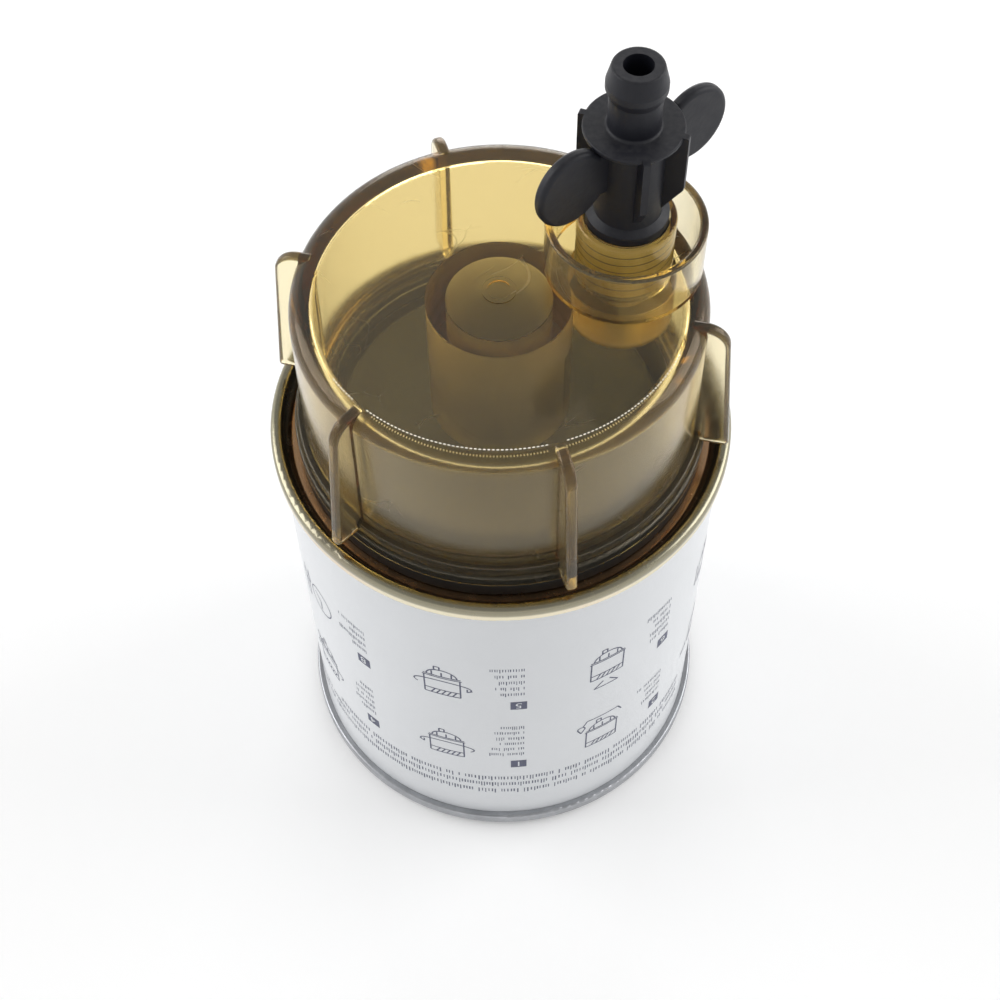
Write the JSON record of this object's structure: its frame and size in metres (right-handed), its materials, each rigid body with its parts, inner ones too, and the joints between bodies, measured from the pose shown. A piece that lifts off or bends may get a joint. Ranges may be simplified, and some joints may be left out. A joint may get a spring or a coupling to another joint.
{
  "type": "fuel water separator",
  "caption": "Spin-on fuel filter and water separator: white can with rolled seams, clear amber screw-on collection bowl with grip ribs, and a winged drain valve with a hose barb.",
  "frame": {"origin": "on the can's axis at the head gasket's sealing face, the bottom of the part as it stands", "axes": "+Z along the can's axis from the head end to the bowl; +X is the side of the bowl nearest the drain valve's side of the picture, the drain axis lying 15.6 degrees from it"},
  "size_m": [0.096, 0.096, 0.1946],
  "materials": {
    "white_paint": "semi-gloss white enamel",
    "galvanised_steel": "dull galvanised sheet",
    "plated_plate": "zinc-plated plate",
    "yellow_zinc": "yellow-passivated zinc",
    "nitrile": "matte nitrile",
    "tinned_steel": "bright tinned sheet",
    "spring_steel": "dark spring steel",
    "resin": "cured tan resin",
    "filter_paper": "resin-treated filter paper",
    "dark_plastic": "dark olive moulding",
    "amber_plastic": "clear amber moulding",
    "black_plastic": "black moulding, fine texture"
  },
  "bodies": {
    "can": {"can_shell": "white_paint", "head_seam_cover": "galvanised_steel", "head_plate": "plated_plate", "head_gasket": "nitrile", "element_grommet": "nitrile", "element_head_cap": "tinned_steel", "head_potting": "resin", "pleated_media": "filter_paper", "pleat_clip": "tinned_steel", "element_core": "tinned_steel", "bowl_potting": "resin", "element_bowl_cap": "dark_plastic", "element_spring": "spring_steel", "bowl_ring_plate": "plated_plate", "bowl_seam_cover": "yellow_zinc"},
    "bowl_seal": {"bowl_seal_ring": "nitrile"},
    "bowl": {"bowl": "amber_plastic"},
    "valve_rings": {"valve_nose_ring": "nitrile", "valve_shank_ring": "nitrile"},
    "valve": {"drain_valve": "black_plastic"}
  },
  "joints": [
    {"name": "bowl_rise", "type": "slide", "parent": "can", "child": "bowl_seal", "axis": [0, 0, 1], "range_m": [0, 0.008]},
    {"name": "bowl_turn", "type": "hinge", "parent": "bowl_seal", "child": "bowl", "pos_m": [0, 0, 0.1], "axis": [0, 0, 1], "range_deg": [0, 960]},
    {"name": "valve_rise", "type": "slide", "parent": "bowl", "child": "valve_rings", "axis": [0, 0, 1], "range_m": [0, 0.0045]},
    {"name": "valve_turn", "type": "hinge", "parent": "valve_rings", "child": "valve", "pos_m": [0.02384, 0.00666, 0.1583], "axis": [0, 0, 1], "range_deg": [0, 810]}
  ],
  "couplings": [
    {"joint": "bowl_rise", "follows": "bowl_turn", "m_per_rad": 0.00047746},
    {"joint": "valve_rise", "follows": "valve_turn", "m_per_rad": 0.00031831}
  ]
}
